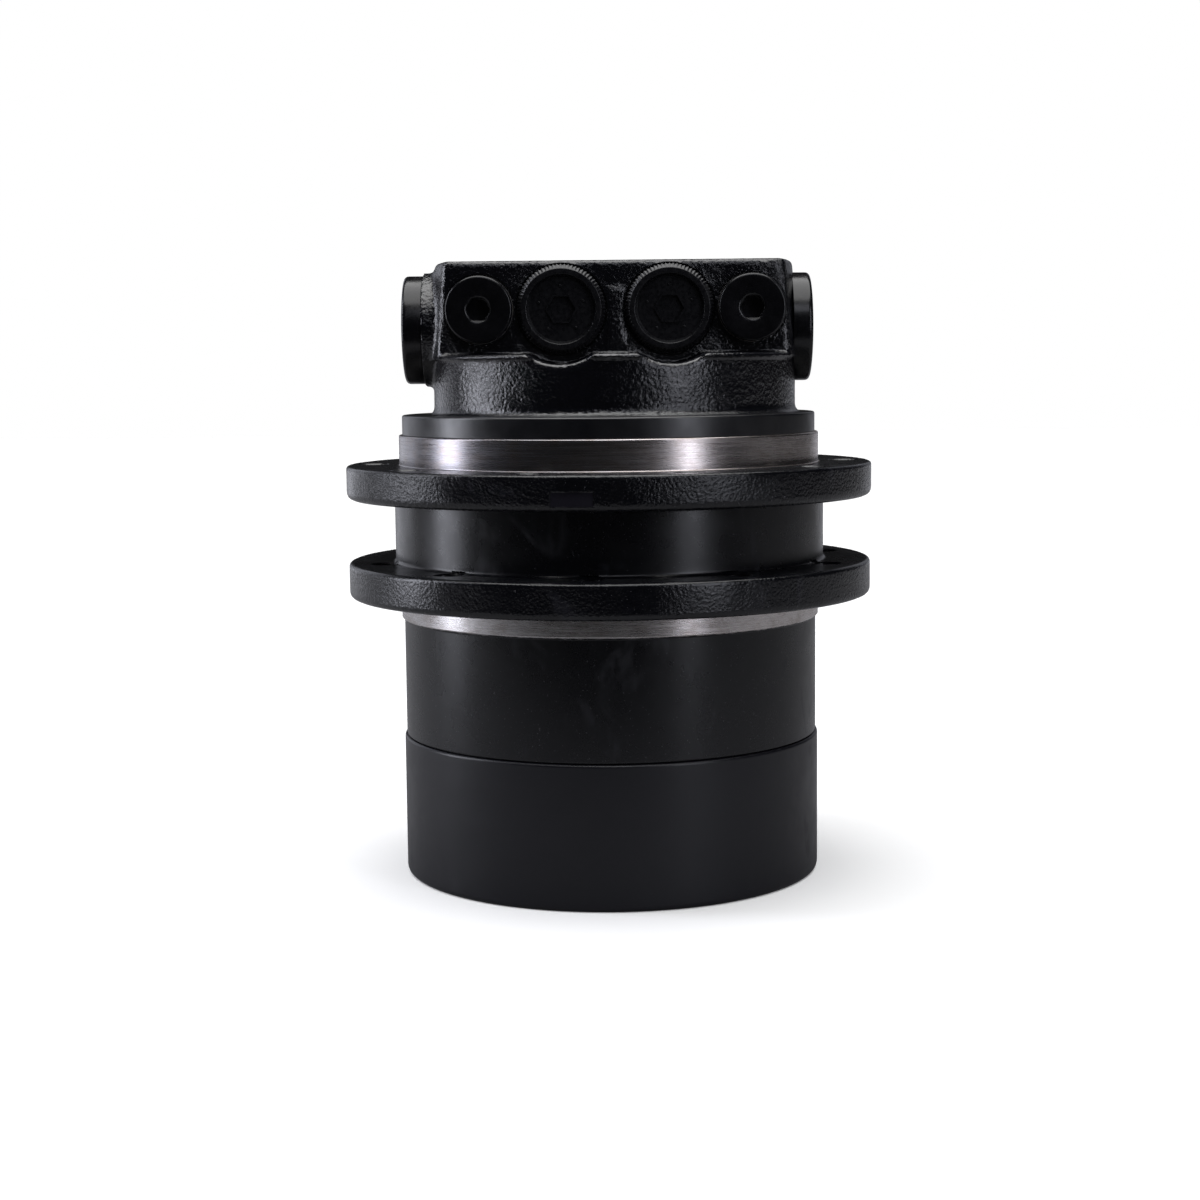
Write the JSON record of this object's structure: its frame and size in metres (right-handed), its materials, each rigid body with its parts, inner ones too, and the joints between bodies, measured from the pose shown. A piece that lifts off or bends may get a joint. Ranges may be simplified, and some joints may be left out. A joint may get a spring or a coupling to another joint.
{
  "type": "hydraulic motor",
  "caption": "Hydraulic travel motor: piston motor, brake and planetary gearbox in a rotating hub, with frame and sprocket flanges and a ported valve casing.",
  "frame": {"origin": "centre of the end cover's face, on the drive axis", "axes": "+Z along the drive axis from the end cover to the valve casing, -Y towards the hydraulic ports, +X along the counterbalance valve"},
  "size_m": [0.2064, 0.2064, 0.239],
  "materials": {
    "cast_paint": "thick glossy black paint with orange peel over a rough casting",
    "smooth_paint": "satin black paint on turned surfaces",
    "black_oxide": "black oxide on turned steel",
    "transport_plastic": "moulded black polyethylene",
    "gear_steel": "ground and case-hardened",
    "bearing_steel": "polished",
    "bronze": "fine turned bronze",
    "spring_steel": "oiled spring wire",
    "seal_rubber": "smooth nitrile rubber",
    "friction_lining": "paper friction lining",
    "turned_steel": "finely turned"
  },
  "bodies": {
    "motor_case": {"valve_casing": "cast_paint", "port_block": "cast_paint", "casing_screws": "black_oxide", "casing_seals": "seal_rubber", "port_plug_left": "transport_plastic", "port_plug_right": "transport_plastic", "drain_plug_left": "black_oxide", "drain_plug_right": "black_oxide", "drain_plug_seals": "turned_steel", "valve_cap_left": "black_oxide", "valve_cap_right": "black_oxide", "spool_spring_left": "spring_steel", "spool_spring_right": "spring_steel", "motor_spindle": "cast_paint", "bearing_nut": "turned_steel", "main_bearing_inner_rings": "bearing_steel", "shaft_bearing_outer_rings": "bearing_steel", "floating_seal_case_ring": "turned_steel", "floating_seal_case_o_ring": "seal_rubber", "swash_plate": "gear_steel", "shaft_seal": "seal_rubber", "valve_plate": "bronze", "dowel_pins": "turned_steel", "brake_steel_plates": "turned_steel", "brake_springs": "spring_steel", "fixed_carrier": "gear_steel", "carrier_screws": "black_oxide", "output_planet_pins": "turned_steel"},
    "rotating_hub": {"hub": "smooth_paint", "end_cover": "smooth_paint", "cover_plugs": "black_oxide", "cover_o_ring": "seal_rubber", "first_ring_gear": "gear_steel", "thrust_pad": "bronze", "main_bearing_outer_rings": "bearing_steel", "floating_seal_hub_ring": "turned_steel", "floating_seal_hub_o_ring": "seal_rubber"},
    "motor_rotor": {"drive_shaft": "gear_steel", "cylinder_block": "gear_steel", "pistons": "gear_steel", "ball_guide": "turned_steel", "block_spring": "spring_steel", "brake_friction_plates": "friction_lining", "shaft_bearing_inner_rings": "bearing_steel", "first_sun_gear": "gear_steel"},
    "slipper_ring": {"slippers": "bronze", "retainer_plate": "gear_steel"},
    "main_ball_sets": {"main_bearing_balls": "bearing_steel"},
    "shaft_ball_sets": {"shaft_bearing_balls": "bearing_steel"},
    "first_stage_carrier": {"first_carrier": "gear_steel", "first_planet_pins": "turned_steel", "second_sun_gear": "gear_steel"},
    "spool": {"counterbalance_spool": "gear_steel"},
    "brake_release_piston": {"brake_piston": "turned_steel"},
    "first_planet_wheel_a": {"first_planet_a": "gear_steel"},
    "output_planet_wheel_a": {"output_planet_a": "gear_steel"},
    "first_planet_wheel_b": {"first_planet_b": "gear_steel"},
    "output_planet_wheel_b": {"output_planet_b": "gear_steel"},
    "first_planet_wheel_c": {"first_planet_c": "gear_steel"},
    "output_planet_wheel_c": {"output_planet_c": "gear_steel"}
  },
  "joints": [
    {"name": "hub_spin", "type": "hinge", "parent": "motor_case", "child": "rotating_hub", "pos_m": [0, 0, 0.11], "axis": [0, 0, 1], "continuous": true},
    {"name": "shaft_spin", "type": "hinge", "parent": "motor_case", "child": "motor_rotor", "pos_m": [0, 0, 0.15], "axis": [0, 0, 1], "continuous": true, "deforming": ["pistons"]},
    {"name": "main_balls_orbit", "type": "hinge", "parent": "motor_case", "child": "main_ball_sets", "pos_m": [0, 0, 0.117], "axis": [0, 0, 1], "continuous": true},
    {"name": "shaft_balls_orbit", "type": "hinge", "parent": "motor_case", "child": "shaft_ball_sets", "pos_m": [0, 0, 0.144], "axis": [0, 0, 1], "continuous": true},
    {"name": "first_carrier_spin", "type": "hinge", "parent": "motor_case", "child": "first_stage_carrier", "pos_m": [0, 0, 0.043], "axis": [0, 0, 1], "continuous": true},
    {"name": "slipper_ring_spin", "type": "hinge", "parent": "motor_case", "child": "slipper_ring", "pos_m": [0, 0, 0.13562], "axis": [0, -0.1736, 0.9848], "continuous": true},
    {"name": "first_planet_a_spin", "type": "hinge", "parent": "first_stage_carrier", "child": "first_planet_wheel_a", "pos_m": [0, 0.042, 0.027], "axis": [0, 0, 1], "continuous": true},
    {"name": "first_planet_b_spin", "type": "hinge", "parent": "first_stage_carrier", "child": "first_planet_wheel_b", "pos_m": [-0.03637, -0.021, 0.027], "axis": [0, 0, 1], "continuous": true},
    {"name": "first_planet_c_spin", "type": "hinge", "parent": "first_stage_carrier", "child": "first_planet_wheel_c", "pos_m": [0.03637, -0.021, 0.027], "axis": [0, 0, 1], "continuous": true},
    {"name": "output_planet_a_spin", "type": "hinge", "parent": "motor_case", "child": "output_planet_wheel_a", "pos_m": [0.03897, 0.0225, 0.068], "axis": [0, 0, 1], "continuous": true},
    {"name": "output_planet_b_spin", "type": "hinge", "parent": "motor_case", "child": "output_planet_wheel_b", "pos_m": [-0.03897, 0.0225, 0.068], "axis": [0, 0, 1], "continuous": true},
    {"name": "output_planet_c_spin", "type": "hinge", "parent": "motor_case", "child": "output_planet_wheel_c", "pos_m": [0, -0.045, 0.068], "axis": [0, 0, 1], "continuous": true},
    {"name": "spool_slide", "type": "slide", "parent": "motor_case", "child": "spool", "axis": [1, 0, 0], "range_m": [-0.005, 0.005], "stiffness_N_per_m": 4000, "deforming": ["spool_spring_left", "spool_spring_right"]},
    {"name": "brake_piston_slide", "type": "slide", "parent": "motor_case", "child": "brake_release_piston", "axis": [0, 0, 1], "range_m": [0, 0.0015], "stiffness_N_per_m": 60000, "springref_m": -0.004, "deforming": ["brake_springs"]}
  ],
  "couplings": [
    {"joint": "shaft_spin", "follows": "hub_spin", "ratio": -34},
    {"joint": "main_balls_orbit", "follows": "hub_spin", "ratio": 0.5352},
    {"joint": "shaft_balls_orbit", "follows": "hub_spin", "ratio": -13.49},
    {"joint": "first_carrier_spin", "follows": "hub_spin", "ratio": -4},
    {"joint": "slipper_ring_spin", "follows": "hub_spin", "ratio": -34},
    {"joint": "first_planet_a_spin", "follows": "hub_spin", "ratio": 12},
    {"joint": "first_planet_b_spin", "follows": "hub_spin", "ratio": 12},
    {"joint": "first_planet_c_spin", "follows": "hub_spin", "ratio": 12},
    {"joint": "output_planet_a_spin", "follows": "hub_spin", "ratio": 2.6667},
    {"joint": "output_planet_b_spin", "follows": "hub_spin", "ratio": 2.6667},
    {"joint": "output_planet_c_spin", "follows": "hub_spin", "ratio": 2.6667}
  ]
}
